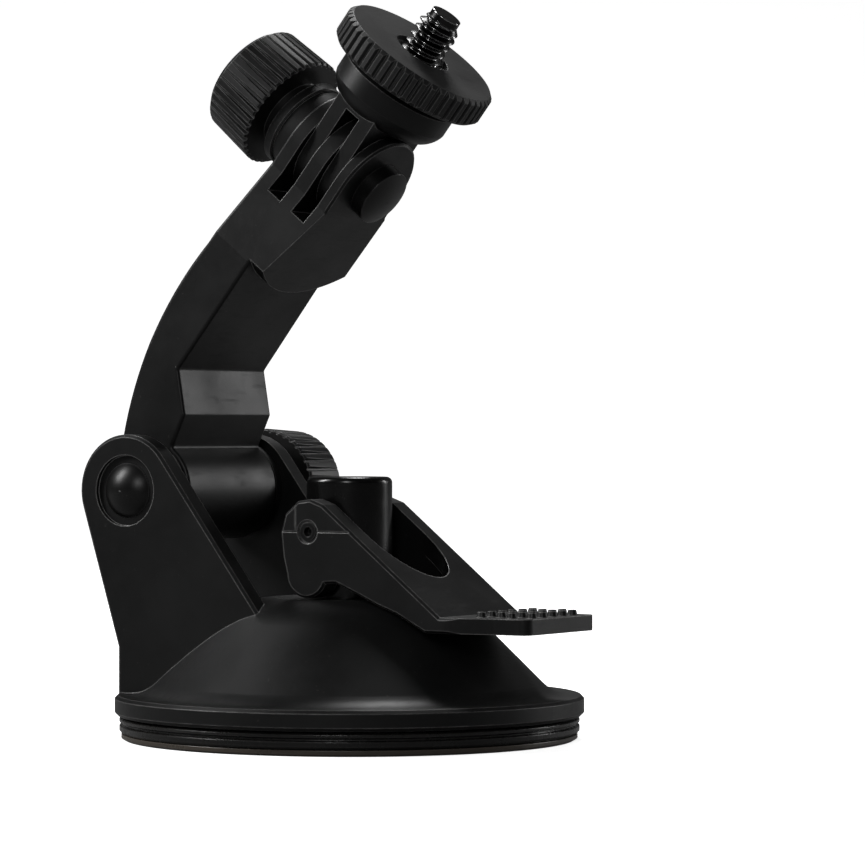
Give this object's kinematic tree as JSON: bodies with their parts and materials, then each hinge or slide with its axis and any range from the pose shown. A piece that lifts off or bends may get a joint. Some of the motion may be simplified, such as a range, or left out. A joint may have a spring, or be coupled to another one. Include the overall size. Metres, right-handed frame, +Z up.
{
  "type": "dash camera suction mount",
  "caption": "Suction-cup windscreen mount for a dash camera: domed base with cam lock lever, clamped cranked arm, tilting head and a threaded camera screw.",
  "frame": {"origin": "centre of the suction cup's underside, on the surface that it sticks to", "axes": "+Z up off the surface, along the suction stem; +X the way the lock lever points and the arm leans; +Y along the lower hinge towards its knob"},
  "size_m": [0.0747, 0.07, 0.1091],
  "materials": {
    "satin_black": "satin moulded black plastic with a fine grain and brighter worn edges",
    "polished_black": "polished black plastic",
    "knob_black": "matte black plastic with moulded grip ribs",
    "cup_rubber": "semi-gloss black flexible cup",
    "gel": "tacky brownish-grey gel layer",
    "friction_rubber": "matte black friction washer",
    "black_steel": "black-oxide steel, bright on its worn edges",
    "steel": "plain grey steel",
    "brass": "turned brass"
  },
  "bodies": {
    "base": {"gel_pad": "gel", "suction_cup": "cup_rubber", "base_shell": "satin_black", "cam_ring": "satin_black", "return_spring": "steel", "lower_bolt": "black_steel", "friction_washer_near": "friction_rubber", "friction_washer_far": "friction_rubber", "lower_knob_washer": "black_steel"},
    "stem": {"stem_foot": "satin_black", "stem_post": "polished_black", "lever_pin": "black_steel"},
    "lever": {"lock_lever": "satin_black"},
    "arm": {"arm": "satin_black", "upper_bolt": "black_steel", "upper_knob_washer": "satin_black"},
    "lower_clamp": {"lower_knob": "knob_black", "lower_knob_nut": "brass"},
    "upper_clamp": {"upper_knob": "knob_black", "upper_knob_nut": "brass"},
    "head": {"head_block": "satin_black", "tripod_screw": "black_steel"},
    "wheel": {"thumb_wheel": "knob_black", "wheel_nut": "black_steel"}
  },
  "joints": [
    {"name": "stem_slide", "type": "slide", "parent": "base", "child": "stem", "axis": [0, 0, 1], "range_m": [-0.0014, 0], "deforming": ["return_spring", "suction_cup", "gel_pad"]},
    {"name": "lever_pivot", "type": "hinge", "parent": "stem", "child": "lever", "pos_m": [0, 0, 0.031], "axis": [0, 1, 0], "range_deg": [-65, 0]},
    {"name": "arm_pitch", "type": "hinge", "parent": "base", "child": "arm", "pos_m": [-0.0288, 0, 0.0369], "axis": [0, 1, 0], "range_deg": [-110, 15]},
    {"name": "head_tilt", "type": "hinge", "parent": "arm", "child": "head", "pos_m": [-0.00026, 0, 0.08545], "axis": [0.7771, 0, -0.6293], "range_deg": [-90, 90]},
    {"name": "wheel_spin", "type": "hinge", "parent": "head", "child": "wheel", "pos_m": [0.01138, 0, 0.09983], "axis": [0.6293, 0, 0.7771], "continuous": true},
    {"name": "lower_knob_spin", "type": "hinge", "parent": "base", "child": "lower_clamp", "pos_m": [-0.0288, 0, 0.0369], "axis": [0, 1, 0], "continuous": true},
    {"name": "upper_knob_spin", "type": "hinge", "parent": "arm", "child": "upper_clamp", "pos_m": [-0.00026, 0, 0.08545], "axis": [-0.7771, 0, 0.6293], "continuous": true}
  ],
  "couplings": [
    {"joint": "stem_slide", "follows": "lever_pivot", "m_per_rad": 0.0012}
  ]
}
